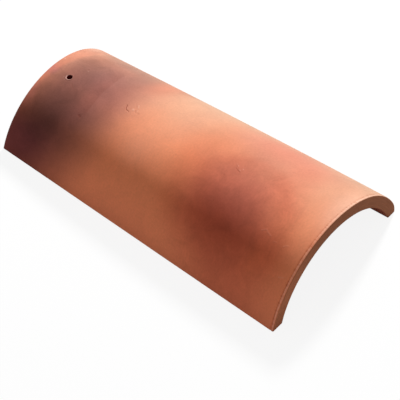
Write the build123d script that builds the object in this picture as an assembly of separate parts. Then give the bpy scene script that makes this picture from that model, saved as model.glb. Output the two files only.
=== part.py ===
from build123d import *
import os

# A tapered barrel roof tile of fired clay, made in one piece. It lies as a cover tile does,
# hollow side down, with both long edges on the ground plane.
# X runs across the tile, Y along it from the wide tail (down the roof) to the narrow head
# (up the roof), Z up. The origin is at the middle of the footprint, on the ground plane.

# Driving dimensions, in millimetres
tile_length = 406.0       # along the roof slope, head to tail
tail_width = 214.5        # across the outside of the long edges, at the wide end
tail_rise = 80.6          # from the ground to the top of the crown, at the wide end
head_width = 183.6        # across the outside of the long edges, at the narrow end
head_rise = 60.6          # from the ground to the top of the crown, at the narrow end
crown_camber = 3.2        # how far the crown bows up at mid-length from a straight line
wall = 15.0               # thickness of the clay, square to its curved face
outer_arris_radius = 1.6  # outer edge of each end face, softened before firing
inner_arris_radius = 0.8  # inner edge of each end face
foot_arris_radius = 0.8   # both edges of each long foot
nail_hole_diameter = 6.0
nail_hole_setback = 30.5  # from the head end to the middle of the hole
nail_hole_aside = 3.3     # the hole was pierced by hand, this far to the left of the crown line

# Worked out from them
tail_y = -tile_length / 2
head_y = tile_length / 2
middle_width = (tail_width + head_width) / 2
middle_rise = (tail_rise + head_rise) / 2 + crown_camber
trim_depth = wall / 2     # clay below the ground plane, which is cut off to make the flat long edges


def arch_section(y, width, rise):
    """The section at y: two arcs about one centre, a wall apart, reaching below the ground."""
    outer_radius = (width**2 / 4 + rise**2) / (2 * rise)
    centre_height = rise - outer_radius
    inner_radius = outer_radius - wall

    def half_width(radius):
        return (radius**2 - (centre_height + trim_depth) ** 2) ** 0.5

    outer = half_width(outer_radius)
    inner = half_width(inner_radius)
    # the sketch's own x is the tile's X, and its own y is the tile's Z
    with BuildSketch(Plane(origin=(0, y, 0), x_dir=(1, 0, 0), z_dir=(0, -1, 0))) as section:
        with BuildLine():
            ThreePointArc((-outer, -trim_depth), (0, rise), (outer, -trim_depth))
            Line((outer, -trim_depth), (inner, -trim_depth))
            ThreePointArc((inner, -trim_depth), (0, rise - wall), (-inner, -trim_depth))
            Line((-inner, -trim_depth), (-outer, -trim_depth))
        make_face()
    return section.sketch


def end_edges(tile, end):
    """The edges of one end face, shortest first: two across the wall, the inner and outer arc."""
    return tile.edges().group_by(Axis.Y)[end].sort_by(SortBy.LENGTH)


def make_tile():
    """The tapered arch, its arrises, its flat long edges and its nail hole."""
    with BuildPart() as tile:
        add(arch_section(tail_y, tail_width, tail_rise))
        add(arch_section(0, middle_width, middle_rise))
        add(arch_section(head_y, head_width, head_rise))
        loft()
        tail_edges = end_edges(tile, 0)
        head_edges = end_edges(tile, -1)
        fillet([tail_edges[-1], head_edges[-1]], outer_arris_radius)
        fillet([tail_edges[-2], head_edges[-2]], inner_arris_radius)
        split(bisect_by=Plane.XY, keep=Keep.TOP)
        feet = tile.faces().filter_by(Plane.XY).group_by(Axis.Z)[0]
        long_edges = [edge for edge in feet.edges() if edge.length > tile_length / 2]
        fillet(long_edges, foot_arris_radius)
        with Locations((-nail_hole_aside, head_y - nail_hole_setback, 0)):
            Cylinder(nail_hole_diameter / 2, 2 * tail_rise, mode=Mode.SUBTRACT)
    return tile.part


os.makedirs("parts", exist_ok=True)
export_step(make_tile(), "parts/barrel_tile.step")
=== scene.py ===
import math
import random

import bmesh
import bpy
from mathutils import Matrix, Vector
from mathutils.kdtree import KDTree

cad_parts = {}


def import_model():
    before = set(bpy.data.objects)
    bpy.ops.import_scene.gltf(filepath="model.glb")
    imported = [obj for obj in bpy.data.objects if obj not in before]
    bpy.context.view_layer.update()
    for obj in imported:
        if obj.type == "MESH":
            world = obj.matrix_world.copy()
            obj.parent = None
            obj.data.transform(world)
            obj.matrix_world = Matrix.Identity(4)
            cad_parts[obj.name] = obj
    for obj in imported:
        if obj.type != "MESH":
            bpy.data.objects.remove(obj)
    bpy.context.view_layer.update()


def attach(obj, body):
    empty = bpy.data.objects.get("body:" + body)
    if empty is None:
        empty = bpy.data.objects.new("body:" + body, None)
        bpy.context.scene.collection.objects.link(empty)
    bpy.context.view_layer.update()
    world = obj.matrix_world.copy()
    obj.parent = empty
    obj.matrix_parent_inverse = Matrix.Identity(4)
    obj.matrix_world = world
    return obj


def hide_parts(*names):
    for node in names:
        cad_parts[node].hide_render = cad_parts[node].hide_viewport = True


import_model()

# A tapered barrel roof tile of unglazed terracotta, darkened in two places by the kiln's fire.
# Lengths are in metres, as in the frame. MM turns a size given in millimetres into them.
MM = 0.001

# The tile's driving sizes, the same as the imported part's
TILE_LENGTH = 406.0 * MM
TAIL_WIDTH = 214.5 * MM
TAIL_RISE = 80.6 * MM
HEAD_WIDTH = 183.6 * MM
HEAD_RISE = 60.6 * MM
CROWN_CAMBER = 3.2 * MM
WALL = 15.0 * MM
OUTER_ARRIS = 1.6 * MM
INNER_ARRIS = 0.8 * MM
FOOT_ARRIS = 0.8 * MM
HOLE_RADIUS = 3.0 * MM
HOLE_X = -3.3 * MM
HOLE_FROM_HEAD = 30.5 * MM

HALF_LENGTH = TILE_LENGTH / 2
HOLE_Y = HALF_LENGTH - HOLE_FROM_HEAD

# The tile is made as a flat blank of clay and then rolled. The blank is a plain rounded slab: X across it,
# Y along it, its upper face at Z 0. Places on it are written in millimetres across and along.
BLANK_HALF = 130.0 * MM
BLANK_COLUMNS = 150

# The photograph's camera. Its lens and its sensor are in millimetres, as a camera's are, and its reach is
# how far it sees.
CAMERA_AZIMUTH = -46.45
CAMERA_ELEVATION = 48.56
CAMERA_ROLL = -4.29
CAMERA_DISTANCE = 2.234
CAMERA_AIM_RIGHT = 9.57 * MM
CAMERA_AIM_UP = -19.58 * MM
CAMERA_LENS = 181.2
CAMERA_SENSOR = 36.0
CAMERA_REACH = 100.0


def linear(code):
    """A hex colour as the four linear numbers that a socket takes, by the sRGB formula."""
    out = []
    for place in (0, 2, 4):
        level = int(code[place:place + 2], 16) / 255
        out.append(level / 12.92 if level <= 0.04045 else ((level + 0.055) / 1.055) ** 2.4)
    return (*out, 1.0)


def add_node(tree, kind, inputs=(), **settings):
    """Adds one node with its settings, and links or sets its inputs.

    The inputs are a list in the node's own order, or a dictionary by name or number. A node given as an
    input stands for its first output.
    """
    made = tree.nodes.new(kind)
    for name, value in settings.items():
        setattr(made, name, value)
    named = inputs if isinstance(inputs, dict) else dict(enumerate(inputs))
    for key, value in named.items():
        if isinstance(value, bpy.types.Node):
            value = value.outputs[0]
        if isinstance(value, bpy.types.NodeSocket):
            tree.links.new(value, made.inputs[key])
        else:
            made.inputs[key].default_value = value
    return made


def empty_tree(owner):
    """The node tree of a material or a world, with nothing in it yet."""
    owner.use_nodes = True
    owner.node_tree.nodes.clear()
    return owner.node_tree


def placed(name, data):
    """A new object in the scene, at the origin."""
    made = bpy.data.objects.new(name, data)
    bpy.context.scene.collection.objects.link(made)
    return made


# The flat blank

def section(y):
    """The rolled arch's outer radius at y, and how far its centre lies below the ground.

    Width and rise change evenly from tail to head, and the crown's camber is a parabola on top of that.
    """
    share = y / TILE_LENGTH + 0.5
    width = TAIL_WIDTH + (HEAD_WIDTH - TAIL_WIDTH) * share
    rise = TAIL_RISE + (HEAD_RISE - TAIL_RISE) * share + CROWN_CAMBER * 4 * share * (1 - share)
    radius = (width**2 / 4 + rise**2) / (2 * rise)
    return radius, radius - rise


def before_rolling(x, y, depth):
    """Where on the blank a point lies that rolling brings over plan position x, y at this depth."""
    radius, drop = section(y)
    layer = radius - depth
    return Vector((BLANK_HALF * math.asin(x / layer) / math.acos(drop / layer), y, -depth))


def rounding(distance, radius):
    """How far a rounded edge has drawn a face in, at a distance from the end of the tile."""
    if distance >= radius:
        return 0.0
    return radius - math.sqrt(radius**2 - (radius - distance) ** 2)


# The rings of vertices: how far each lies from its end where they are close together, in millimetres,
# and the step between them in the rest of the tile
EDGE_STEPS = [0.0, 0.05, 0.2, 0.45, 0.8, 1.2, 1.6, 2.0, 2.4, 2.8, 3.2, 3.6, 4.0, 4.5, 5.2, 6.2]
ROW_STEP = 1.85 * MM
# How many steps each foot takes round an arris and down its flat side
ARRIS_STEPS = 4
FLAT_STEPS = 5


def stations():
    """The Y of each ring of vertices, close together near both ends."""
    edge = [step * MM for step in EDGE_STEPS]
    inner = TILE_LENGTH - 2 * edge[-1]
    count = round(inner / ROW_STEP)
    middle = [edge[-1] + inner * k / count for k in range(1, count)]
    spans = edge + middle + [TILE_LENGTH - step for step in reversed(edge)]
    return [span - HALF_LENGTH for span in spans]


class Clay:
    """The vertices and faces of the blank."""

    def __init__(self):
        self.points, self.faces = [], []

    def put(self, point):
        """Adds a vertex and gives its number."""
        self.points.append(Vector(point))
        return len(self.points) - 1

    def join(self, first, second):
        """Quads between two rows of equal length."""
        for k in range(len(first) - 1):
            self.faces.append((first[k], first[k + 1], second[k + 1], second[k]))

    def join_round(self, first, second):
        """Quads between two closed loops of equal length."""
        self.join(first + first[:1], second + second[:1])


def ring(clay, y):
    """One ring of vertices round the blank: its upper row, its lower row and the two feet."""
    distance = HALF_LENGTH - abs(y)
    top = -rounding(distance, OUTER_ARRIS)
    bottom = -WALL + rounding(distance, INNER_ARRIS)
    side = BLANK_HALF - rounding(distance, FOOT_ARRIS)
    low, high = bottom + FOOT_ARRIS, top - FOOT_ARRIS
    quarter = [math.pi / 2 * k / ARRIS_STEPS for k in range(ARRIS_STEPS + 1)]
    foot = [(side - FOOT_ARRIS * (1 - math.sin(turn)), top - FOOT_ARRIS * (1 - math.cos(turn)))
            for turn in quarter[1:]]
    foot += [(side, high + (low - high) * k / FLAT_STEPS) for k in range(1, FLAT_STEPS)]
    foot += [(side - FOOT_ARRIS * (1 - math.cos(turn)), low - FOOT_ARRIS * math.sin(turn))
             for turn in quarter[:-1]]
    span = side - FOOT_ARRIS
    across = [span * (2 * k / BLANK_COLUMNS - 1) for k in range(BLANK_COLUMNS + 1)]
    return {"top": [clay.put((x, y, top)) for x in across],
            "right": [clay.put((x, y, z)) for x, z in foot],
            "bottom": [clay.put((x, y, bottom)) for x in across],
            "left": [clay.put((-x, y, z)) for x, z in foot]}


def cut_end(clay, row):
    """The flat face that the wire cut, between the upper and the lower row of an end ring."""
    high, low = clay.points[row["top"][0]].z, clay.points[row["bottom"][0]].z
    previous = row["top"]
    for right, left in zip(row["right"], row["left"]):
        share = (high - clay.points[right].z) / (high - low)
        pairs = zip(row["top"][1:-1], row["bottom"][1:-1])
        middle = [clay.put(clay.points[top].lerp(clay.points[bottom], share)) for top, bottom in pairs]
        across = [left, *middle, right]
        clay.join(previous, across)
        previous = across
    clay.join(previous, row["bottom"])


# The nail hole takes the place of a square block of faces, this many faces to each side of it. Rings of
# vertices lie at these shares of the way in to the hole, and at these shares of the wall down it.
HOLE_BLOCK = 5
HOLE_RINGS = [0.2, 0.38, 0.52, 0.63, 0.72, 0.79, 0.85, 0.9, 0.94, 0.97, 1.0]
HOLE_DEPTHS = [0.02, 0.05, 0.1, 0.2, 0.4, 0.6, 0.8, 0.93, 0.98]
# The clay that the punch pushed up round the mouth. Its crest is at this share of its width.
MOUTH_LIP_HEIGHT = 0.35 * MM
MOUTH_LIP_WIDTH = 1.6 * MM
MOUTH_LIP_CREST = 0.5
MOUTH_LIP_STEEPNESS = 6.0
# The mouth flares, most on the side that the punch leaned on, and has four soft corners
MOUTH_FLARE = 0.7 * MM
MOUTH_DEPTH = 5.0 * MM
MOUTH_UNEVEN = 0.3
MOUTH_LEAN = math.radians(190.0)
MOUTH_SHIFT = 0.75 * MM
CORNER_COUNT = 4
CORNER_REACH = 0.1 * MM
CORNER_TURN = math.radians(75.0)


def hole_block():
    """The rows and columns of the block that the nail hole goes through."""
    ys = stations()
    row = min(range(len(ys)), key=lambda k: abs(ys[k] - HOLE_Y))
    share = before_rolling(HOLE_X, HOLE_Y, 0.0).x / (BLANK_HALF - FOOT_ARRIS)
    column = round((share + 1) / 2 * BLANK_COLUMNS)
    return [range(middle - HOLE_BLOCK, middle + HOLE_BLOCK + 1) for middle in (row, column)]


def block_edge(rows, face, block):
    """The closed loop of vertices round the block, in order."""
    ys, xs = list(block[0]), list(block[1])
    loop = [rows[ys[0]][face][x] for x in xs]
    loop += [rows[y][face][xs[-1]] for y in ys[1:]]
    loop += [rows[ys[-1]][face][x] for x in reversed(xs[:-1])]
    loop += [rows[y][face][xs[0]] for y in reversed(ys[1:-1])]
    return loop


def hole_point(turn, depth):
    """A point of the hole's wall in plan. The punch went in a little askew."""
    leaned = 1 - MOUTH_UNEVEN + MOUTH_UNEVEN * math.cos(turn - MOUTH_LEAN)
    flare = MOUTH_FLARE * leaned * max(0.0, 1 - depth / MOUTH_DEPTH) ** 2
    reach = HOLE_RADIUS + flare + CORNER_REACH * math.cos(CORNER_COUNT * (turn - CORNER_TURN))
    middle = HOLE_X - MOUTH_SHIFT * (1 - depth / WALL)
    return middle + reach * math.cos(turn), HOLE_Y + reach * math.sin(turn)


def pierce(clay, rows, block):
    """Rings from the block's edge in to the hole on both faces, and the hole's wall between them."""
    middle = before_rolling(HOLE_X, HOLE_Y, 0.0)
    turns = []
    for vertex in block_edge(rows, "top", block):
        away = clay.points[vertex] - middle
        turns.append(math.atan2(away.y, away.x))
    mouths = []
    for face, depth, lip_height in (("top", 0.0, MOUTH_LIP_HEIGHT), ("bottom", WALL, 0.0)):
        outer = block_edge(rows, face, block)
        previous = outer
        for share in HOLE_RINGS:
            now = []
            for vertex, turn in zip(outer, turns):
                near = before_rolling(*hole_point(turn, depth), depth)
                point = clay.points[vertex].lerp(near, share)
                gap = (point - near).length / MOUTH_LIP_WIDTH
                point.z += lip_height * math.exp(-MOUTH_LIP_STEEPNESS * (gap - MOUTH_LIP_CREST) ** 2)
                now.append(clay.put(point))
            clay.join_round(previous, now)
            previous = now
        mouths.append(previous)
    previous = mouths[0]
    for share in HOLE_DEPTHS:
        places = [hole_point(turn, WALL * share) for turn in turns]
        now = [clay.put(before_rolling(*place, WALL * share)) for place in places]
        clay.join_round(previous, now)
        previous = now
    clay.join_round(previous, mouths[1])


def blank_mesh(dents):
    """The blank as one closed mesh, pierced for the nail, and finer where a dent goes."""
    clay = Clay()
    rows = [ring(clay, y) for y in stations()]
    block = hole_block()
    for number, (row, after) in enumerate(zip(rows, rows[1:])):
        for face in ("top", "bottom"):
            for k in range(BLANK_COLUMNS):
                pierced = number in block[0][:-1] and k in block[1][:-1]
                if not pierced:
                    clay.join(row[face][k:k + 2], after[face][k:k + 2])
        for foot, end in (("right", -1), ("left", 0)):
            across = [row["top"][end], *row[foot], row["bottom"][end]]
            clay.join(across, [after["top"][end], *after[foot], after["bottom"][end]])
    cut_end(clay, rows[0])
    cut_end(clay, rows[-1])
    pierce(clay, rows, block)
    mesh = bpy.data.meshes.new("clay_blank")
    mesh.from_pydata([tuple(point) for point in clay.points], [], clay.faces)
    refine(mesh, dents)
    mesh.shade_smooth()
    return mesh


# Faces larger than this, within this margin of a dent, are cut by this many lines each way
COARSE_AREA = 1.2 * MM**2
FINE_MARGIN = 1.2 * MM
FINE_CUTS = 3


def refine(mesh, dents):
    """Cuts the faces near each dent finely enough to hold its shape."""
    form = bmesh.new()
    form.from_mesh(mesh)
    form.verts.ensure_lookup_table()
    tree = KDTree(len(form.verts))
    for vertex in form.verts:
        tree.insert(vertex.co, vertex.index)
    tree.balance()
    near = set()
    for place, radius, _, _ in dents:
        for _, index, _ in tree.find_range(place, radius + FINE_MARGIN):
            near.update(form.verts[index].link_faces)
    edges = {edge for face in near if face.calc_area() > COARSE_AREA for edge in face.edges}
    bmesh.ops.subdivide_edges(form, edges=list(edges), cuts=FINE_CUTS, use_grid_fill=True)
    bmesh.ops.recalc_face_normals(form, faces=form.faces)
    form.to_mesh(mesh)
    form.free()


# Marks in the clay. Each is a line of small round dents: their radius and depth in millimetres, their tone,
# and the places that the line goes through. A minus depth stands proud. The tone is how much paler, or with a
# minus darker, the clay is painted there. Each dent is darker and each proud bit paler, so the tone is partly
# the marks' own clay and partly painted shade and painted highlight.

# A crescent scrape beside the crown, with a hair line left of it and crumbs along it
SCRAPE = (
    (0.85, 0.4, -0.62,
     (-1, 87.7), (-2.7, 86.2), (-4.1, 86.3), (-5.9, 85), (-7.1, 83.7), (-7.4, 81.8), (-8, 79.6)),
    (0.9, 0.08, -0.1, (-5.6, 88), (-8.3, 85.5)),
    (0.7, -0.1, 0.08, (-3.9, 84.4), (-5.3, 83.6)),
    (0.9, -0.12, 0.14, (-9.1, 80.6), (-9.2, 80.2)),
)
# The flake of clay that the scrape turned up, with the flake's broken edges
FLAKE = (
    (2.0, -0.2, 0.2, (-2.6, 77.4), (-3.1, 76.8)),
    (0.9, -0.2, 0.2, (5.8, 76.2), (2.5, 73.7)),
    (0.7, 0.15, -0.16, (4.2, 78), (1.1, 75.5)),
    (0.8, 0.2, -0.25, (-2.1, 74.3), (-4.8, 72)),
    (0.7, -0.15, 0.12, (-0.5, 72.4), (-3, 70.8)),
    (2.1, 0.12, -0.16, (-4.3, 68.6), (-4.6, 67.8)),
)
# A short scratch between the middle and the tail, with crumbs along it
SCRATCH = (
    (0.75, 0.22, -0.38, (-4.6, -72.1), (-5.4, -74.2), (-6.1, -75.5), (-6.2, -76.9), (-6.9, -79.3)),
    (0.7, 0.15, -0.18, (-1.6, -70.8), (-2.7, -72.2)),
    (0.6, 0.12, -0.14, (-3.5, -74.4), (-4.4, -75.5)),
    (1.0, -0.14, 0.16, (-1.2, -72.2), (-1.4, -72.6)),
    (0.9, -0.08, 0.08, (0.4, -69.6), (0.2, -69.9)),
    (1.0, -0.15, 0.18, (-4.8, -77.4), (-5, -77.8)),
    (1.2, -0.12, 0.14, (-1.9, -79.8), (-2.1, -80.1)),
)
# Wavy drag lines low on the left
DRAG_LINES = (
    (1.4, -0.1, 0.045, (-47.2, -143.1), (-44.2, -147.8), (-46.1, -150.9), (-47.5, -155.8)),
    (0.9, -0.07, 0.04, (-50.7, -162), (-49.8, -166)),
    (1.4, -0.1, 0.05, (-50, -174.8), (-48.1, -177), (-47.2, -179.2)),
    (0.9, -0.1, 0.08, (-77, -187), (-76, -190), (-75, -192.5)),
)
# Dimples, scuffs and a pale chip near the head
HEAD_SCUFFS = (
    (1.5, 0.25, -0.16, (20.2, 164.2), (20, 163.6)),
    (1.4, -0.12, 0.08, (17.1, 162), (16.9, 161.6)),
    (3.0, 0.22, -0.26, (-42, 126.9), (-42.8, 125.2)),
    (0.9, -0.2, 0.4, (17.9, 200.3), (18.8, 199.2)),
    (0.7, 0.12, -0.16, (1.8, 171), (0, 167.4)),
    (0.9, -0.12, 0.14, (-7.6, 178.8), (-7.8, 178.5)),
    (0.9, -0.12, 0.12, (-11, 175.4), (-11.3, 175)),
    (1.4, 0.1, -0.1, (-11.4, 163), (-16.4, 157.5)),
)
# Two faint dark specks on the body
SPECKS = (
    (1.8, 0.1, -0.14, (-17.9, -66.8), (-18.1, -67.2)),
    (1.2, 0.12, -0.18, (-8, -115.2), (-8.2, -115.6)),
)
# Dents follow each other along a mark at this share of their radius
DENT_SPACING = 0.5

# Chance marks: nibbled clay along the upper arris of both ends, and small pits left by grains that came away.
# Their tones make them mostly darker, partly as painted shade in the hollows. A pair is a least and a
# greatest value, and every size and place is in millimetres.
MARK_SEED = 7
NIBBLES = 26
NIBBLE_ACROSS = (-128, 128)
NIBBLE_FROM_END = (0.9, 2.6)
NIBBLE_RADIUS = (0.6, 1.3)
NIBBLE_DEPTH = (0.1, 0.3)
NIBBLE_TONE = (-0.4, 0.1)
PITS = 46
PIT_ACROSS = (-125, 125)
PIT_ALONG = (-195, 195)
PIT_RADIUS = (0.5, 0.9)
PIT_DEPTH = (0.1, 0.22)
PIT_TONE = -0.25


def dent_line(radius, depth, tone, *places):
    """Dents close together along a line through places on the blank."""
    dents = []
    for start, end in zip(places, places[1:]):
        a, b = (Vector((across * MM, along * MM, 0.0)) for across, along in (start, end))
        steps = max(1, round((b - a).length / (radius * MM * DENT_SPACING)))
        dents += [(a.lerp(b, k / steps), radius * MM, depth * MM, tone) for k in range(steps + 1)]
    return dents


def marks():
    """Every mark on the outer face, as dents: place, radius, depth and tone."""
    made = []
    for mark in (*SCRAPE, *FLAKE, *SCRATCH, *DRAG_LINES, *HEAD_SCUFFS, *SPECKS):
        made += dent_line(*mark)
    rng = random.Random(MARK_SEED)
    for end in (-1, 1):
        for _ in range(NIBBLES):
            along = end * (HALF_LENGTH - rng.uniform(*NIBBLE_FROM_END) * MM)
            place = Vector((rng.uniform(*NIBBLE_ACROSS) * MM, along, 0.0))
            radius, depth = rng.uniform(*NIBBLE_RADIUS) * MM, rng.uniform(*NIBBLE_DEPTH) * MM
            made.append((place, radius, depth, rng.uniform(*NIBBLE_TONE)))
    for _ in range(PITS):
        place = Vector((rng.uniform(*PIT_ACROSS) * MM, rng.uniform(*PIT_ALONG) * MM, 0.0))
        made.append((place, rng.uniform(*PIT_RADIUS) * MM, rng.uniform(*PIT_DEPTH) * MM, PIT_TONE))
    return made


def dent_points(dents):
    """The dents as loose points that carry their radius, depth and tone."""
    mesh = bpy.data.meshes.new("dent_points")
    mesh.from_pydata([tuple(dent[0]) for dent in dents], [], [])
    for number, name in ((1, "dent_radius"), (2, "dent_depth"), (3, "dent_tone")):
        values = [dent[number] for dent in dents]
        mesh.attributes.new(name, "FLOAT", "POINT").data.foreach_set("value", values)
    return placed("dent_points", mesh)


# Rolling the blank into the tile

# The named inputs of the tree. The groove is the one that the wire dragged along the tail's upper arris, and
# the shade painted in it grows from its start to its end across the blank, towards the shaded left flank. The
# lip is a paler band painted beside it, partly worn clay and partly a painted highlight, with no clay raised,
# and the slump is that of the right foot at the tail end.
ROLLING_SIZES = {
    "Tile Length": TILE_LENGTH,
    "Tail Width": TAIL_WIDTH,
    "Tail Rise": TAIL_RISE,
    "Head Width": HEAD_WIDTH,
    "Head Rise": HEAD_RISE,
    "Crown Camber": CROWN_CAMBER,
    "Blank Half": BLANK_HALF,
    "Wall": WALL,
    "Swell Height": 0.25 * MM,
    "Swell Length": 70.0 * MM,
    "Swell Seed": 4.0,
    "Groove Depth": 0.3 * MM,
    "Groove Setback": 3.6 * MM,
    "Groove Reach": 1.0 * MM,
    "Groove Seed": 9.0,
    "Stain Start": 20.0 * MM,
    "Stain End": -60.0 * MM,
    "Lip Setback": 1.9 * MM,
    "Lip Reach": 1.4 * MM,
    "Foot Slump": 3.5 * MM,
    "Slump Reach": 70.0 * MM,
    "Slump Height": 15.0 * MM,
}
# The swell's noise leaves a face where it is at this level. Most of it is lower, so faces swell inwards.
SWELL_LEVEL = 0.62
# The groove comes and goes in patches of this length, between these levels of its noise, and where it is
# faint, this share of its depth or of its stain is left
GROOVE_PATCH = 9.0 * MM
GROOVE_LEVELS = (0.38, 0.62)
GROOVE_FAINT = 0.3
# How much darker the groove is painted than the clay, as painted shade, and how much paler the lip beside it,
# partly worn clay and partly a painted highlight
GROOVE_SHADE_TONE = -0.42
LIP_WEAR_AND_HIGHLIGHT_TONE = 0.24
# The wire's marks fade out between these heights of the blank, under its outer face
WIRE_HEIGHTS = (-2.0 * MM, -1.0 * MM)


def between(tree, tail, head, share):
    """A size between its values at the tail and at the head."""
    change = add_node(tree, "ShaderNodeMath", [head, tail], operation="SUBTRACT")
    return add_node(tree, "ShaderNodeMath", [change, share, tail], operation="MULTIPLY_ADD")


def hump(tree, value, middle, reach):
    """A soft hump that is 1 where a value is at its middle and 0 beyond its reach."""
    gap = add_node(tree, "ShaderNodeMath", [value, middle], operation="SUBTRACT")
    gap = add_node(tree, "ShaderNodeMath", [gap], operation="ABSOLUTE")
    return add_node(tree, "ShaderNodeMapRange",
                    {"Value": gap, "From Min": 0.0, "From Max": reach, "To Min": 1.0, "To Max": 0.0},
                    interpolation_type="SMOOTHSTEP")


def dent_value(tree, dents, name, kind="FLOAT"):
    """A value of the dent point nearest to each vertex."""
    nearest = add_node(tree, "GeometryNodeSampleNearest", {"Geometry": dents}, domain="POINT")
    if name == "position":
        value = add_node(tree, "GeometryNodeInputPosition")
    else:
        value = add_node(tree, "GeometryNodeInputNamedAttribute", {"Name": name}, data_type=kind)
    return add_node(tree, "GeometryNodeSampleIndex", {"Geometry": dents, "Value": value, "Index": nearest},
                    data_type=kind, domain="POINT")


def from_tail(tree, given, y):
    """How far a place lies from the tail end."""
    half_length = add_node(tree, "ShaderNodeMath", [given["Tile Length"], 2.0], operation="DIVIDE")
    return add_node(tree, "ShaderNodeMath", [y, half_length], operation="ADD")


def wire_marks(tree, given, place):
    """The strengths of the uneven groove along the tail's upper arris, of the shade painted in it, and of the
    paler lip beside it, which is partly worn clay and partly a painted highlight.
    """
    x, y, z = add_node(tree, "ShaderNodeSeparateXYZ", [place]).outputs
    setback = from_tail(tree, given, y)
    outside = add_node(tree, "ShaderNodeMapRange",
                       {"Value": z, "From Min": WIRE_HEIGHTS[0], "From Max": WIRE_HEIGHTS[1]})
    noise = add_node(tree, "ShaderNodeTexNoise",
                     {"Vector": place, "W": given["Groove Seed"], "Scale": 1 / GROOVE_PATCH, "Detail": 3.0},
                     noise_dimensions="4D")
    patchy = add_node(tree, "ShaderNodeMapRange",
                      {"Value": noise, "From Min": GROOVE_LEVELS[0], "From Max": GROOVE_LEVELS[1],
                       "To Min": GROOVE_FAINT})
    strength = add_node(tree, "ShaderNodeMath", [patchy, outside], operation="MULTIPLY")
    shape = hump(tree, setback, given["Groove Setback"], given["Groove Reach"])
    groove = add_node(tree, "ShaderNodeMath", [strength, shape], operation="MULTIPLY")
    left = add_node(tree, "ShaderNodeMapRange",
                    {"Value": x, "From Min": given["Stain Start"], "From Max": given["Stain End"],
                     "To Min": GROOVE_FAINT})
    groove_shade = add_node(tree, "ShaderNodeMath", [groove, left], operation="MULTIPLY")
    crest = hump(tree, setback, given["Lip Setback"], given["Lip Reach"])
    lip = add_node(tree, "ShaderNodeMath", [outside, crest], operation="MULTIPLY")
    return groove, groove_shade, lip


def pressed(tree, given):
    """The blank with its dents and its end groove pressed in and its faces softly uneven."""
    place = add_node(tree, "GeometryNodeInputPosition")
    normal = add_node(tree, "GeometryNodeInputNormal")
    dents = add_node(tree, "GeometryNodeObjectInfo", {"Object": given["Dents"]}).outputs["Geometry"]
    centre = dent_value(tree, dents, "position", "FLOAT_VECTOR")
    gap = add_node(tree, "ShaderNodeVectorMath", [place, centre], operation="DISTANCE").outputs["Value"]
    bowl = hump(tree, gap, 0.0, dent_value(tree, dents, "dent_radius"))
    groove, groove_shade, lip = wire_marks(tree, given, place)

    # how far each face stands out: the swell, less the dents and the groove
    swells = add_node(tree, "ShaderNodeMath", [1.0, given["Swell Length"]], operation="DIVIDE")
    noise = add_node(tree, "ShaderNodeTexNoise",
                     {"Vector": place, "W": given["Swell Seed"], "Scale": swells, "Detail": 2.0},
                     noise_dimensions="4D")
    level = add_node(tree, "ShaderNodeMath", [noise, SWELL_LEVEL], operation="SUBTRACT")
    rise = add_node(tree, "ShaderNodeMath", [level, given["Swell Height"]], operation="MULTIPLY")
    dent = add_node(tree, "ShaderNodeMath", [bowl, dent_value(tree, dents, "dent_depth")],
                    operation="MULTIPLY")
    rise = add_node(tree, "ShaderNodeMath", [rise, dent], operation="SUBTRACT")
    cut = add_node(tree, "ShaderNodeMath", [groove, given["Groove Depth"]], operation="MULTIPLY")
    rise = add_node(tree, "ShaderNodeMath", [rise, cut], operation="SUBTRACT")
    offset = add_node(tree, "ShaderNodeVectorMath", {0: normal, "Scale": rise}, operation="SCALE")

    # each vertex keeps its place on the flat blank and its tone for the finish
    flat = add_node(tree, "GeometryNodeStoreNamedAttribute",
                    {"Geometry": given["Geometry"], "Name": "blank", "Value": place},
                    data_type="FLOAT_VECTOR", domain="POINT")
    # the dents' tone: darker in hollows and paler where proud, partly painted shade and painted highlight
    tone = add_node(tree, "ShaderNodeMath", [bowl, dent_value(tree, dents, "dent_tone")],
                    operation="MULTIPLY")
    # the groove's painted shade and the lip's paler tone, partly a painted highlight, join the tone here
    tone = add_node(tree, "ShaderNodeMath", [groove_shade, GROOVE_SHADE_TONE, tone], operation="MULTIPLY_ADD")
    tone = add_node(tree, "ShaderNodeMath", [lip, LIP_WEAR_AND_HIGHLIGHT_TONE, tone], operation="MULTIPLY_ADD")
    toned = add_node(tree, "GeometryNodeStoreNamedAttribute",
                     {"Geometry": flat, "Name": "scar", "Value": tone}, data_type="FLOAT", domain="POINT")
    return add_node(tree, "GeometryNodeSetPosition", {"Geometry": toned, "Offset": offset})


def slumped(tree, given, x, y, z):
    """How far the outer side of the right foot has slumped inwards, close to the tail end."""
    near_tail = hump(tree, from_tail(tree, given, y), 0.0, given["Slump Reach"])
    from_foot = add_node(tree, "ShaderNodeMath", [given["Blank Half"], x], operation="SUBTRACT")
    above = add_node(tree, "ShaderNodeMapRange",
                     {"Value": from_foot, "From Min": given["Slump Height"], "From Max": 0.0})
    near_foot = add_node(tree, "ShaderNodeMath", [above, 2.0], operation="POWER")
    height = add_node(tree, "ShaderNodeMath", [z, given["Wall"]], operation="DIVIDE")
    outer_side = add_node(tree, "ShaderNodeMath", [height, 1.0], operation="ADD")
    corner = add_node(tree, "ShaderNodeMath", [near_tail, near_foot], operation="MULTIPLY")
    share = add_node(tree, "ShaderNodeMath", [corner, outer_side], operation="MULTIPLY")
    return add_node(tree, "ShaderNodeMath", [share, given["Foot Slump"]], operation="MULTIPLY")


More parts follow.
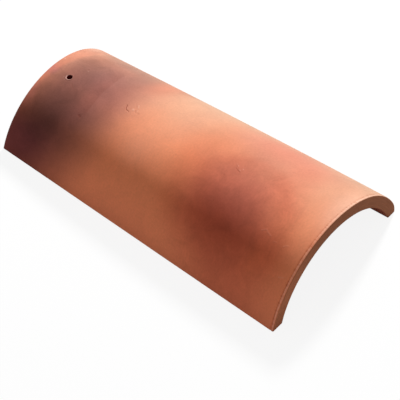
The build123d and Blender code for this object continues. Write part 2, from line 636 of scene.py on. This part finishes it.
def arch(tree, given, y):
    """The arch's outer radius at y, and how far its centre lies below the ground, by the sums of section."""
    share = add_node(tree, "ShaderNodeMath", [y, given["Tile Length"]], operation="DIVIDE")
    share = add_node(tree, "ShaderNodeMath", [share, 0.5], operation="ADD")
    rest = add_node(tree, "ShaderNodeMath", [1.0, share], operation="SUBTRACT")
    fourfold = add_node(tree, "ShaderNodeMath", [share, 4.0], operation="MULTIPLY")
    bow = add_node(tree, "ShaderNodeMath", [rest, fourfold], operation="MULTIPLY")
    straight = between(tree, given["Tail Rise"], given["Head Rise"], share)
    rise = add_node(tree, "ShaderNodeMath", [bow, given["Crown Camber"], straight], operation="MULTIPLY_ADD")
    width = between(tree, given["Tail Width"], given["Head Width"], share)
    half = add_node(tree, "ShaderNodeMath", [width, 2.0], operation="DIVIDE")
    square = add_node(tree, "ShaderNodeMath", [rise, rise], operation="MULTIPLY")
    squares = add_node(tree, "ShaderNodeMath", [half, half, square], operation="MULTIPLY_ADD")
    twofold = add_node(tree, "ShaderNodeMath", [rise, 2.0], operation="MULTIPLY")
    radius = add_node(tree, "ShaderNodeMath", [squares, twofold], operation="DIVIDE")
    return radius, add_node(tree, "ShaderNodeMath", [radius, rise], operation="SUBTRACT")


def rolled(tree, given, blank):
    """The blank rolled into an arch whose width and rise change from tail to head."""
    place = add_node(tree, "GeometryNodeInputPosition")
    x, y, z = add_node(tree, "ShaderNodeSeparateXYZ", [place]).outputs
    radius, drop = arch(tree, given, y)
    level = add_node(tree, "ShaderNodeMath", [radius, z], operation="ADD")
    layer = add_node(tree, "ShaderNodeMath", [level, slumped(tree, given, x, y, z)], operation="SUBTRACT")
    cosine = add_node(tree, "ShaderNodeMath", [drop, layer], operation="DIVIDE")
    edge = add_node(tree, "ShaderNodeMath", [cosine], operation="ARCCOSINE")
    share = add_node(tree, "ShaderNodeMath", [x, given["Blank Half"]], operation="DIVIDE")
    angle = add_node(tree, "ShaderNodeMath", [share, edge], operation="MULTIPLY")
    sideways = add_node(tree, "ShaderNodeMath", [angle], operation="SINE")
    upwards = add_node(tree, "ShaderNodeMath", [angle], operation="COSINE")
    across = add_node(tree, "ShaderNodeMath", [layer, sideways], operation="MULTIPLY")
    raised = add_node(tree, "ShaderNodeMath", [layer, upwards], operation="MULTIPLY")
    height = add_node(tree, "ShaderNodeMath", [raised, drop], operation="SUBTRACT")
    arched = add_node(tree, "ShaderNodeCombineXYZ", [across, y, height])
    return add_node(tree, "GeometryNodeSetPosition", {"Geometry": blank, "Position": arched})


def rolling_tree():
    """Geometry nodes that press the marks into the blank, roll it and give it its finish."""
    tree = bpy.data.node_groups.new("rolled_tile", "GeometryNodeTree")
    face = tree.interface
    face.new_socket("Geometry", in_out="INPUT", socket_type="NodeSocketGeometry")
    face.new_socket("Dents", in_out="INPUT", socket_type="NodeSocketObject")
    face.new_socket("Finish", in_out="INPUT", socket_type="NodeSocketMaterial")
    for name, size in ROLLING_SIZES.items():
        face.new_socket(name, in_out="INPUT", socket_type="NodeSocketFloat").default_value = size
    face.new_socket("Geometry", in_out="OUTPUT", socket_type="NodeSocketGeometry")
    given = add_node(tree, "NodeGroupInput").outputs
    tile = rolled(tree, given, pressed(tree, given))
    real = add_node(tree, "GeometryNodeRealizeInstances", {"Geometry": tile})
    done = add_node(tree, "GeometryNodeSetMaterial", {"Geometry": real, "Material": given["Finish"]})
    add_node(tree, "NodeGroupOutput", {"Geometry": done})
    return tree


def set_inputs(modifier, values):
    """Sets a geometry nodes modifier's inputs by their sockets' identifiers."""
    for item in modifier.node_group.interface.items_tree:
        if item.item_type == "SOCKET" and item.in_out == "INPUT" and item.name in values:
            modifier[item.identifier] = values[item.name]


# The finish. Its patterns lie on the flat blank, in millimetres, so they follow the tile's curve.

# The clay's colour across the blank, with painted light in it: redder on the shaded left flank, paler and
# greyer towards the lit right
CLAY_AND_LIGHT_SHADES = ((-130, "E8845D"), (-66, "E8855A"), (-50, "ED8D64"), (-20, "F09770"),
               (-8, "E89773"), (22, "D19375"), (80, "B48E75"), (130, "B48C76"))

# Where fire and smoke have tinted the outer face: place, size, turn, core and tint of each soft oval.
# First the smoke round the head end.
HEAD_SMOKE = (
    ((-23, 143), (129, 96), -13, 0.18, "B7C2E2"),   # the dark band itself
    ((-19, 166), (97, 40), 0, 0.4, "DFE3E2"),       # its smokiest part
    ((-108, 185), (142, 95), -51, 0.08, "827094"),  # its deepest part, low on the left
    ((98, 117), (185, 84), -18, 0.5, "F0DAD8"),     # a pink blush beyond it on the right
    ((-14, 100), (44, 28), 0, 0.0, "F0EBEE"),       # a thin haze left of the crown
    ((80, 145), (32, 62), 0, 0.2, "EDF7FF"),        # a cool haze on the right flank
    ((54, 106), (42, 28), 0, 0.0, "EEF6FC"),        # and another towards the middle
    ((-5, 200), (18, 14), 0, 0.1, "DCD4FF"),        # a violet tinge at the crown of the head end
    ((-42, 122), (26, 30), 0, 0.0, "F4F2F6"),       # a faint haze at the band's lower left
)
# Then the red-brown flash between the middle and the tail
BODY_FLASH = (
    ((-56, -103), (142, 93), 38, 0.28, "DCC4C9"),   # the whole flash
    ((-66, -99), (45, 112), 0, 0.0, "E0CCCB"),      # its heart, along the left flank
    ((-37, -98), (48, 61), 0, 0.1, "E8E5F2"),       # a mauve haze between its heart and the crown
    ((58, -98), (56, 108), 0, 0.0, "FFDDE0"),       # a pink blush on its right
    ((20, -138), (54, 36), 0, 0.15, "FFF0EF"),      # a fainter one towards the tail
    ((-18, -156), (26, 24), 0, 0.0, "F6EAEA"),      # a thin haze beside that
    ((-2, -24), (96, 40), 0, 0.1, "FFF3EA"),        # warm clay between it and the tile's middle
    ((-30, -54), (26, 26), 0, 0.0, "F3EDED"),       # two thin hazes at its edge towards the head
    ((-2, -66), (26, 22), 0, 0.0, "F6F2F4"),
    ((-55, -168), (46, 30), 0, 0.0, "FFF2EC"),      # warm clay between it and the tail
)
# Warm glows laid over all of it: place, size, colour and strength
GLOWS = (
    ((60, 82), (48, 22), "D7866A", 0.3),            # beside the head's smoke, on the right
    ((14, -50), (32, 40), "F38F60", 0.25),          # between the body's flash and the middle
    ((30, 32), (70, 26), "F0C8A0", 0.06),           # across the middle
    ((28, 164), (28, 20), "E09880", 0.07),          # in the head's smoke
    ((-80, -151), (28, 20), "FF8048", 0.1),         # low on the left, near the tail
    ((18, -205), (58, 34), "F4C6AC", 0.38),         # the bleached tail end
    ((-38, 42), (38, 40), "FFC4AA", 0.1),           # left of the crown
    ((76, 198), (24, 12), "F6D2BC", 0.14),          # the right end of the head's edge
    ((-46, 199), (34, 9), "C8706A", 0.2),           # and its left end
)
# An oval goes through the whole wall, since this is its size in depth
OVAL_DEPTH = 1000.0


def between_levels(tree, value, low, high):
    """How far a value has gone from one level to another, from 0 to 1."""
    return add_node(tree, "ShaderNodeMapRange", {"Value": value, "From Min": low, "From Max": high},
                    interpolation_type="SMOOTHSTEP")


def oval(tree, flat, place, size, turn=0.0, core=0.0, strength=1.0):
    """A soft oval, full inside its core. Place and size are across and along."""
    local = add_node(tree, "ShaderNodeMapping",
                     {"Vector": flat, "Location": (*place, 0.0), "Rotation": (0.0, 0.0, math.radians(turn)),
                      "Scale": (*size, OVAL_DEPTH)}, vector_type="TEXTURE")
    reach = add_node(tree, "ShaderNodeVectorMath", [local], operation="LENGTH").outputs["Value"]
    return add_node(tree, "ShaderNodeMapRange",
                    {"Value": reach, "From Min": core, "From Max": 1.0, "To Min": strength, "To Max": 0.0},
                    interpolation_type="SMOOTHSTEP")


def tinted(tree, colour, tint, share, blend="MULTIPLY"):
    """A colour with another laid over it."""
    return add_node(tree, "ShaderNodeMix", {0: share, 6: colour, 7: tint},
                    data_type="RGBA", blend_type=blend).outputs[2]


def flashed(tree, colour, place, ovals):
    """Clay with the soft ovals of one flash laid over it."""
    for middle, size, turn, core, tint in ovals:
        colour = tinted(tree, colour, linear(tint), oval(tree, place, middle, size, turn, core))
    return colour


# How the edges drawn on the clay wander: the length and the reach of the noise in millimetres, and its seed
BROAD_WANDER = (55.0, 14.0, 1.0)
FLASH_WANDER = (14.0, 4.0, 2.0)
EDGE_WANDER = (14.0, 5.0, 3.0)
INNER_WANDER = (40.0, 20.0, 5.0)
# The middle of a noise's three values
NOISE_MIDDLE = (0.5, 0.5, 0.5)


def wandering(tree, flat, length, reach, seed):
    """The blank's coordinates pushed about by noise, so that no edge drawn in them is regular."""
    noise = add_node(tree, "ShaderNodeTexNoise",
                     {"Vector": flat, "Scale": 1 / length, "W": seed, "Detail": 3.0},
                     noise_dimensions="4D").outputs[1]
    centred = add_node(tree, "ShaderNodeVectorMath", [noise, NOISE_MIDDLE], operation="SUBTRACT")
    return add_node(tree, "ShaderNodeVectorMath", [centred, (reach, reach, 0.0), flat],
                    operation="MULTIPLY_ADD")


# The strip along the head end that a lapping tile kept clean, in millimetres: its width at the crown, how
# much wider it gets for each one to the right, the softness of its edge, and its blush. It comes in slowly
# from the spread on the left of the crown to the same spread on its right.
MARGIN_WIDTH = 10.0
MARGIN_SLOPE = 0.17
MARGIN_SOFT = 3.5
MARGIN_SPREAD = 75.0
MARGIN_TINT = "F8E4E6"


def clean_margin(tree, place):
    """How far a place lies in the clean strip along the head end, from 0 to 1."""
    across, along, _ = add_node(tree, "ShaderNodeSeparateXYZ", [place]).outputs
    width = add_node(tree, "ShaderNodeMath", [across, MARGIN_SLOPE, MARGIN_WIDTH], operation="MULTIPLY_ADD")
    reach = add_node(tree, "ShaderNodeMath", [width, along], operation="ADD")
    inside = add_node(tree, "ShaderNodeMath", [reach, HALF_LENGTH / MM], operation="SUBTRACT")
    strip = between_levels(tree, inside, -MARGIN_SOFT, MARGIN_SOFT)
    right = between_levels(tree, across, -MARGIN_SPREAD, MARGIN_SPREAD)
    return add_node(tree, "ShaderNodeMath", [strip, right], operation="MULTIPLY")


# The edge that a lapping tile's tail left in the smoke: how far askew it lies, then the levels along the
# blank between which its pale band starts and between which it fades again, how far from the crown it
# ends, and the thin line on it
TIDE_SLOPE = -0.09
TIDE_START = (122.6, 124.6)
TIDE_FADE = (147.0, 124.0)
TIDE_SPREAD = (46.0, 30.0)
TIDE_LINE = 124.8
TIDE_LINE_REACH = 1.8
TIDE_STRENGTH = 0.45
TIDE_TINT = "E8DAD4"


def tide_mark(tree, colour, place):
    """The edge that a lapping tile's tail left in the smoke, across the crown and a little askew."""
    across, along, _ = add_node(tree, "ShaderNodeSeparateXYZ", [place]).outputs
    level = add_node(tree, "ShaderNodeMath", [across, TIDE_SLOPE, along], operation="MULTIPLY_ADD")
    fade = add_node(tree, "ShaderNodeMath", [between_levels(tree, level, *TIDE_FADE), TIDE_STRENGTH],
                    operation="MULTIPLY")
    band = add_node(tree, "ShaderNodeMath", [between_levels(tree, level, *TIDE_START), fade],
                    operation="MULTIPLY")
    line = add_node(tree, "ShaderNodeMath", [hump(tree, level, TIDE_LINE, TIDE_LINE_REACH), TIDE_STRENGTH],
                    operation="MULTIPLY")
    share = add_node(tree, "ShaderNodeMath", [band, line], operation="MAXIMUM")
    from_crown = add_node(tree, "ShaderNodeMath", [across], operation="ABSOLUTE")
    near_crown = between_levels(tree, from_crown, *TIDE_SPREAD)
    share = add_node(tree, "ShaderNodeMath", [share, near_crown], operation="MULTIPLY")
    return tinted(tree, colour, linear(TIDE_TINT), share)


# The hem of the body's flash: its middle, then the size and core of the oval that it fills and of the one
# inside that it leaves free, and between which places across the blank it comes in
HEM_MIDDLE = (-60, -97)
HEM_OUTER = ((90, 80), 0.8)
HEM_INNER = ((85, 74), 0.45)
HEM_START = (-30.0, 0.0)
HEM_TINT = "F7ECEB"


def flash_hem(tree, colour, place):
    """The greyer hem along the upper edge of the body's flash."""
    outer, inner = (oval(tree, place, HEM_MIDDLE, size, core=core) for size, core in (HEM_OUTER, HEM_INNER))
    free = add_node(tree, "ShaderNodeMath", [1.0, inner], operation="SUBTRACT")
    hem = add_node(tree, "ShaderNodeMath", [outer, free], operation="MULTIPLY")
    across = add_node(tree, "ShaderNodeSeparateXYZ", [place]).outputs[0]
    upper = between_levels(tree, across, *HEM_START)
    share = add_node(tree, "ShaderNodeMath", [hem, upper], operation="MULTIPLY")
    return tinted(tree, colour, linear(HEM_TINT), share)


# The two smoky ovals, where the clouds are at their strongest, and how strong they are in plain clay
CLOUDY_OVALS = (((-20, 160), (150, 70)), ((-50, -105), (90, 100)))
CLOUDY_CORE = 0.5
CLOUDS_ELSEWHERE = 0.4
# The size of a cloud and of a speck of dust in millimetres, and how much paler and darker they make the clay.
# Real specks are finer. They are drawn this coarse so that they show.
CLOUD_SIZE = 22.0
CLOUD_CONTRAST = 0.12
DUST_SIZE = 2.4
DUST_CONTRAST = 0.045
# The levels between which a noise's values mostly lie
NOISE_LEVELS = (0.3, 0.7)


def speckled(tree, colour, noise, contrast, share):
    """A colour that a noise makes paler and darker."""
    level = add_node(tree, "ShaderNodeMapRange",
                     {"Value": noise, "From Min": NOISE_LEVELS[0], "From Max": NOISE_LEVELS[1],
                      "To Min": 1 - contrast, "To Max": 1 + contrast})
    return tinted(tree, colour, level, share)


def mottled(tree, colour, flat):
    """Uneven clay: smoke lies in clouds and wisps, and fine dust and grains speckle it all."""
    ovals = [oval(tree, flat, middle, size, core=CLOUDY_CORE) for middle, size in CLOUDY_OVALS]
    smoky = add_node(tree, "ShaderNodeMath", ovals, operation="MAXIMUM")
    share = add_node(tree, "ShaderNodeMath", [smoky, 1 - CLOUDS_ELSEWHERE, CLOUDS_ELSEWHERE],
                     operation="MULTIPLY_ADD")
    clouds = add_node(tree, "ShaderNodeTexNoise",
                      {"Vector": flat, "Scale": 1 / CLOUD_SIZE, "Detail": 5.0, "Roughness": 0.62,
                       "Distortion": 0.8})
    colour = speckled(tree, colour, clouds, CLOUD_CONTRAST, share)
    dust = add_node(tree, "ShaderNodeTexNoise", {"Vector": flat, "Scale": 1 / DUST_SIZE, "Detail": 3.0})
    return speckled(tree, colour, dust, DUST_CONTRAST, 1.0)


def combed(tree, flat, per_mm, detail, turn=0.0):
    """Noise drawn out one way, as a die or a wire leaves it in clay."""
    drawn = add_node(tree, "ShaderNodeMapping",
                     {"Vector": flat, "Rotation": (0.0, 0.0, turn), "Scale": per_mm})
    return add_node(tree, "ShaderNodeTexNoise", {"Vector": drawn, "Scale": 1.0, "Detail": detail})


# The ticks of the jumping wire: where they lie from the tail end and how far they reach, how many go into a
# millimetre across and along, their slant in radians, and the levels of noise between which they show
TICK_SETBACK = 2.8
TICK_REACH = 3.2
TICKS_PER_MM = (0.55, 0.12, 0.0)
TICK_SLANT = 0.35
TICK_LEVELS = (0.48, 0.62)
TICK_TINT = "EADAD2"


def wire_ticks(tree, colour, flat):
    """The short slanting ticks that the jumping wire left across the tail end's arris."""
    along = add_node(tree, "ShaderNodeSeparateXYZ", [flat]).outputs[1]
    setback = add_node(tree, "ShaderNodeMath", [along, HALF_LENGTH / MM], operation="ADD")
    ticks = between_levels(tree, combed(tree, flat, TICKS_PER_MM, 2.0, TICK_SLANT), *TICK_LEVELS)
    band = hump(tree, setback, TICK_SETBACK, TICK_REACH)
    share = add_node(tree, "ShaderNodeMath", [band, ticks], operation="MULTIPLY")
    return tinted(tree, colour, linear(TICK_TINT), share)


def clay_and_light_ramp(tree, flat):
    """The clay's colour across the blank, redder where it is shaded and paler where it is lit, as painted
    light.
    """
    half = BLANK_HALF / MM
    across = add_node(tree, "ShaderNodeSeparateXYZ", [flat]).outputs[0]
    share = add_node(tree, "ShaderNodeMapRange", {"Value": across, "From Min": -half, "From Max": half})
    ramp = add_node(tree, "ShaderNodeValToRGB", [share])
    shades = ramp.color_ramp.elements
    shades.remove(shades[0])
    for number, (place, shade) in enumerate(CLAY_AND_LIGHT_SHADES):
        position = (place + half) / (2 * half)
        stop = shades[0] if number == 0 else shades.new(position)
        stop.position = position
        stop.color = linear(shade)
    return ramp


def outer_clay(tree, flat):
    """The colour of the outer face: clay with two dark kiln flashes."""
    broad = wandering(tree, flat, *BROAD_WANDER)
    place = wandering(tree, broad, *FLASH_WANDER)
    near = wandering(tree, flat, *EDGE_WANDER)
    # the clay's colour, with the painted light across the flanks
    clay = clay_and_light_ramp(tree, broad)
    smoked = tide_mark(tree, flashed(tree, clay, place, HEAD_SMOKE), near)
    clean = tinted(tree, clay, linear(MARGIN_TINT), 1.0)
    colour = tinted(tree, smoked, clean, clean_margin(tree, near), blend="MIX")
    colour = flash_hem(tree, flashed(tree, colour, place, BODY_FLASH), near)
    for middle, size, glow, strength in GLOWS:
        share = oval(tree, near, middle, size, strength=strength)
        colour = tinted(tree, colour, linear(glow), share, blend="MIX")
    return wire_ticks(tree, mottled(tree, colour, flat), flat)


# The inside: its two clays, the die's streaks between them (how many go into a millimetre each way, and the
# levels of noise between which they come in), its darker mottles, and where smoke has tinted it. Both clays
# are darker than the outer face, partly as painted shade under the arch.
INNER_CLAY_AND_SHADE = "B4654B"
INNER_STREAK = "A85C46"
STREAKS_PER_MM = (0.5, 0.02, 0.1)
STREAK_LEVELS = (0.35, 0.7)
MOTTLE_SIZE = 5.0
MOTTLE_LEVELS = (0.42, 0.72)
MOTTLE_TINT = "D8C8C4"
INNER_SMOKE = (
    ((60, -150), (90, 120), 0, 0.1, "C89890"),
    ((-30, 110), (100, 90), 0, 0.1, "D0B0B0"),
)


def inner_clay(tree, flat):
    """The colour of the inside: duller and redder, and darker partly as painted shade under the arch, with
    faint drag streaks left by the die.
    """
    streaks = between_levels(tree, combed(tree, flat, STREAKS_PER_MM, 4.0), *STREAK_LEVELS)
    colour = tinted(tree, linear(INNER_CLAY_AND_SHADE), linear(INNER_STREAK), streaks, blend="MIX")
    mottles = add_node(tree, "ShaderNodeTexNoise",
                       {"Vector": flat, "Scale": 1 / MOTTLE_SIZE, "Detail": 5.0, "Roughness": 0.65})
    colour = tinted(tree, colour, linear(MOTTLE_TINT), between_levels(tree, mottles, *MOTTLE_LEVELS))
    return flashed(tree, colour, wandering(tree, flat, *INNER_WANDER), INNER_SMOKE)


# The wire-cut ends: their clay on the left and on the right, and where across the blank it changes, then the
# wire's lines, which are 20 mm long and half a millimetre apart. The ends are painted darker than the outer
# face, partly as painted shade, and the paler left is painted light.
CUT_LEFT_LIT = "BC7250"
CUT_RIGHT = "92593C"
CUT_CHANGE = (-130.0, -5.0)
LINES_PER_MM = (0.05, 0.05, 2.2)
LINE_LEVELS = (0.35, 0.65)
LINE_TINT = "E8E6E4"


def cut_clay(tree, flat):
    """The colour of the wire-cut ends: dull and brown, partly as painted shade, redder and paler on the left
    as painted light, with the wire's fine lines.
    """
    across = add_node(tree, "ShaderNodeSeparateXYZ", [flat]).outputs[0]
    change = between_levels(tree, across, *CUT_CHANGE)
    # paler on the left, as painted light
    colour = tinted(tree, linear(CUT_LEFT_LIT), linear(CUT_RIGHT), change, blend="MIX")
    lines = between_levels(tree, combed(tree, flat, LINES_PER_MM, 2.0), *LINE_LEVELS)
    return tinted(tree, colour, linear(LINE_TINT), lines)


# Where one clay gives way to the next, in millimetres: the cut ends by their distance from the head's and the
# tail's end, and the inside by its height on the blank. At the tail the darker cut colour runs on round the
# arris as painted shade.
HEAD_CUT = (0.06, 0.02)
TAIL_CUT = (0.8, 0.4)
INSIDE_START = (-13.8, -14.8)


def bare_clay(tree, flat):
    """The colour of every face, as it came from the kiln, with painted light and shade in the outer face's
    ramp, the inside and the cut ends.
    """
    _, along, depth = add_node(tree, "ShaderNodeSeparateXYZ", [flat]).outputs
    from_head = add_node(tree, "ShaderNodeMath", [HALF_LENGTH / MM, along], operation="SUBTRACT")
    from_tail_end = add_node(tree, "ShaderNodeMath", [HALF_LENGTH / MM, along], operation="ADD")
    at_head = between_levels(tree, from_head, *HEAD_CUT)
    at_tail = between_levels(tree, from_tail_end, *TAIL_CUT)
    at_end = add_node(tree, "ShaderNodeMath", [at_head, at_tail], operation="MAXIMUM")
    inside = between_levels(tree, depth, *INSIDE_START)
    colour = tinted(tree, outer_clay(tree, flat), inner_clay(tree, flat), inside, blend="MIX")
    return tinted(tree, colour, cut_clay(tree, flat), at_end, blend="MIX")


# The nail hole: the pale ring's offset from it, size, strength and colour, then the painted shade in the
# hole, which sets in between these heights. The pale ring is partly fresh clay and partly a painted highlight
# on the lit side of the mouth. The ovals of both are full inside the same core.
FRESH_AND_LIT_OFFSET = (-1.7, 0.3)
FRESH_AND_LIT_SIZE = (4.5, 4.4)
FRESH_AND_LIT_STRENGTH = 0.42
FRESH_AND_LIT_CLAY = "F8CABE"
HOLE_SHADE_SIZE = (5.6, 5.6)
HOLE_SHADE_START = (0.0, -0.5)
HOLE_SHADE_TINT = "8A2C1C"
HOLE_CORE = 0.8


def nail_hole_clay_and_light(tree, colour, flat):
    """Fresh pale clay round the nail hole's mouth, partly a painted highlight on its lit side, and painted
    shade inside the hole.
    """
    hole = before_rolling(HOLE_X, HOLE_Y, 0.0) / MM
    middle = (hole.x + FRESH_AND_LIT_OFFSET[0], hole.y + FRESH_AND_LIT_OFFSET[1])
    fresh_and_lit = oval(tree, flat, middle, FRESH_AND_LIT_SIZE, core=HOLE_CORE, strength=FRESH_AND_LIT_STRENGTH)
    colour = tinted(tree, colour, linear(FRESH_AND_LIT_CLAY), fresh_and_lit, blend="MIX")
    depth = add_node(tree, "ShaderNodeSeparateXYZ", [flat]).outputs[2]
    # painted shade deeper down in the hole
    hole_shade_depth = between_levels(tree, depth, *HOLE_SHADE_START)
    hole_shade = oval(tree, flat, (hole.x, hole.y), HOLE_SHADE_SIZE, core=HOLE_CORE, strength=hole_shade_depth)
    return tinted(tree, colour, linear(HOLE_SHADE_TINT), hole_shade)


# The clay in a mark at its palest and at its darkest, partly painted highlight and painted shade
SCAR_PALE_AND_HIGHLIGHT = "FFDCC8"
SCAR_DARK_AND_SHADE = "7A2A14"


def scar_and_light_tones(tree, colour):
    """Paler and darker clay in the marks and along the tail's groove and lip: partly the marks' own clay,
    partly painted shade in the hollows and painted highlight on what stands proud.
    """
    scar = add_node(tree, "ShaderNodeAttribute", attribute_name="scar").outputs["Fac"]
    pale = add_node(tree, "ShaderNodeMath", [scar, 0.0], operation="MAXIMUM")
    turned = add_node(tree, "ShaderNodeMath", [scar, -1.0], operation="MULTIPLY")
    dark = add_node(tree, "ShaderNodeMath", [turned, 0.0], operation="MAXIMUM")
    colour = tinted(tree, colour, linear(SCAR_PALE_AND_HIGHLIGHT), pale, blend="MIX")
    return tinted(tree, colour, linear(SCAR_DARK_AND_SHADE), dark, blend="MIX")


# The open grain of sandy clay. Real grains are about half a millimetre wide. Ones that fine don't show in
# the render, so they are drawn about 1.4 mm wide, and only a share of their height is felt in the light.
SAND_PER_MM = 0.7
SAND_HEIGHT = 0.25 * MM
SAND_STRENGTH = 0.23
# The clay's roughness in its smoothest and its sandiest parts, and its faint sheen
CLAY_ROUGHNESS = (0.8, 0.96)
CLAY_SHEEN = 0.15


def fired_terracotta():
    """Unglazed fired clay, extruded and wire cut: matt, fine grained, flashed dark by the flame."""
    material = bpy.data.materials.new("fired_terracotta")
    tree = empty_tree(material)
    blank = add_node(tree, "ShaderNodeAttribute", attribute_name="blank").outputs["Vector"]
    flat = add_node(tree, "ShaderNodeVectorMath", {0: blank, "Scale": 1 / MM}, operation="SCALE")
    colour = scar_and_light_tones(tree, nail_hole_clay_and_light(tree, bare_clay(tree, flat), flat))
    sand = add_node(tree, "ShaderNodeTexNoise",
                    {"Vector": flat, "Scale": SAND_PER_MM, "Detail": 4.0, "Roughness": 0.6})
    rough = add_node(tree, "ShaderNodeMapRange",
                     {"Value": sand, "To Min": CLAY_ROUGHNESS[0], "To Max": CLAY_ROUGHNESS[1]})
    relief = add_node(tree, "ShaderNodeBump",
                      {"Height": sand, "Strength": SAND_STRENGTH, "Distance": SAND_HEIGHT})
    shader = add_node(tree, "ShaderNodeBsdfPrincipled",
                      {"Base Color": colour, "Roughness": rough, "Normal": relief,
                       "Specular IOR Level": CLAY_SHEEN})
    add_node(tree, "ShaderNodeOutputMaterial", {"Surface": shader})
    return material


def terracotta_tile():
    """The finished tile: one closed mesh that stands for the CAD solid."""
    dents = marks()
    draft = placed("clay_blank", blank_mesh(dents))
    points = dent_points(dents)
    rolling = draft.modifiers.new("rolling", "NODES")
    rolling.node_group = rolling_tree()
    set_inputs(rolling, {"Dents": points, "Finish": fired_terracotta(), **ROLLING_SIZES})
    graph = bpy.context.evaluated_depsgraph_get()
    final = bpy.data.meshes.new_from_object(draft.evaluated_get(graph))
    draft.modifiers.remove(rolling)
    bpy.data.objects.remove(draft)
    bpy.data.objects.remove(points)
    tile = placed("terracotta_tile", final)
    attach(tile, "root")
    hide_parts("barrel_tile")


# The studio

FLOOR_SIZE = 12.0
FLOOR_DROP = 0.1 * MM
# The paper's colour to the eye, how much of it is a glow, and the colour that it throws back on the tile
PAPER_COLOUR = "FAFAFA"
PAPER_GLOW = 0.88
PAPER_BOUNCE = "F0F0F0"
WHITE = "FFFFFF"
# The strength of the world's even light
SOFT_LIGHT = 0.358


def floor():
    """A pale floor that looks white and keeps the tile's shadow. From below it is clear."""
    mesh = bpy.data.meshes.new("studio_floor")
    half = FLOOR_SIZE / 2
    corners = [(-half, -half), (half, -half), (half, half), (-half, half)]
    mesh.from_pydata([(x, y, -FLOOR_DROP) for x, y in corners], [], [(0, 1, 2, 3)])
    made = placed("studio_floor", mesh)
    material = bpy.data.materials.new("white_paper")
    tree = empty_tree(material)
    seen = add_node(tree, "ShaderNodeLightPath").outputs["Is Camera Ray"]
    back = add_node(tree, "ShaderNodeNewGeometry").outputs["Backfacing"]
    below = add_node(tree, "ShaderNodeMath", [seen, back], operation="MULTIPLY")
    bounce = add_node(tree, "ShaderNodeBsdfDiffuse", {"Color": linear(PAPER_BOUNCE)})
    paper = add_node(tree, "ShaderNodeBsdfDiffuse", {"Color": linear(PAPER_COLOUR)})
    glow = add_node(tree, "ShaderNodeEmission", {"Color": linear(WHITE), "Strength": 1.0})
    white = add_node(tree, "ShaderNodeMixShader", [PAPER_GLOW, paper, glow])
    shown = add_node(tree, "ShaderNodeMixShader", [seen, bounce, white])
    clear = add_node(tree, "ShaderNodeBsdfTransparent")
    last = add_node(tree, "ShaderNodeMixShader", [below, shown, clear])
    add_node(tree, "ShaderNodeOutputMaterial", {"Surface": last})
    mesh.materials.append(material)


def world():
    """White to the eye, and a soft even light on the tile."""
    made = bpy.data.worlds.new("studio")
    tree = empty_tree(made)
    path = add_node(tree, "ShaderNodeLightPath").outputs
    seen = add_node(tree, "ShaderNodeMath", [path["Is Camera Ray"], path["Is Glossy Ray"]],
                    operation="MAXIMUM")
    seen = add_node(tree, "ShaderNodeMath", [seen, path["Is Transmission Ray"]], operation="MAXIMUM")
    soft = add_node(tree, "ShaderNodeBackground", {"Color": linear(WHITE), "Strength": SOFT_LIGHT})
    white = add_node(tree, "ShaderNodeBackground", {"Color": linear(WHITE), "Strength": 1.0})
    both = add_node(tree, "ShaderNodeMixShader", [seen, soft, white])
    add_node(tree, "ShaderNodeOutputWorld", {"Surface": both})
    bpy.context.scene.world = made


def away_from_tile(azimuth, elevation):
    """The way from the tile to a lamp or a camera. Azimuth 0 is towards -Y, 90 towards +X."""
    a, e = math.radians(azimuth), math.radians(elevation)
    return Vector((math.sin(a) * math.cos(e), -math.cos(a) * math.cos(e), math.sin(e)))


def lamp(name, azimuth, elevation, distance, size, power):
    """A square soft box that faces the tile."""
    light = bpy.data.lights.new(name, "AREA")
    light.shape = "SQUARE"
    light.size = size
    light.energy = power
    made = placed(name, light)
    away = away_from_tile(azimuth, elevation)
    made.location = away * distance
    made.rotation_mode = "QUATERNION"
    made.rotation_quaternion = away.to_track_quat("Z", "Y")
    made.visible_camera = False


def camera():
    """The photograph's view of the tile."""
    back = away_from_tile(CAMERA_AZIMUTH, CAMERA_ELEVATION)
    level = Vector((0, 0, 1)).cross(back).normalized()
    right = Matrix.Rotation(math.radians(CAMERA_ROLL), 3, back) @ level
    up = back.cross(right)
    data = bpy.data.cameras.new("camera")
    data.lens = CAMERA_LENS
    data.sensor_width = CAMERA_SENSOR
    data.clip_end = CAMERA_REACH
    made = placed("camera", data)
    made.rotation_mode = "QUATERNION"
    made.rotation_quaternion = Matrix((right, up, back)).transposed().to_quaternion()
    made.location = back * CAMERA_DISTANCE + right * CAMERA_AIM_RIGHT + up * CAMERA_AIM_UP
    bpy.context.scene.camera = made


camera()
terracotta_tile()
floor()
world()
lamp("key_softbox", azimuth=105, elevation=37, distance=2.2, size=0.3, power=63.2)
bpy.context.scene.view_settings.view_transform = "Standard"
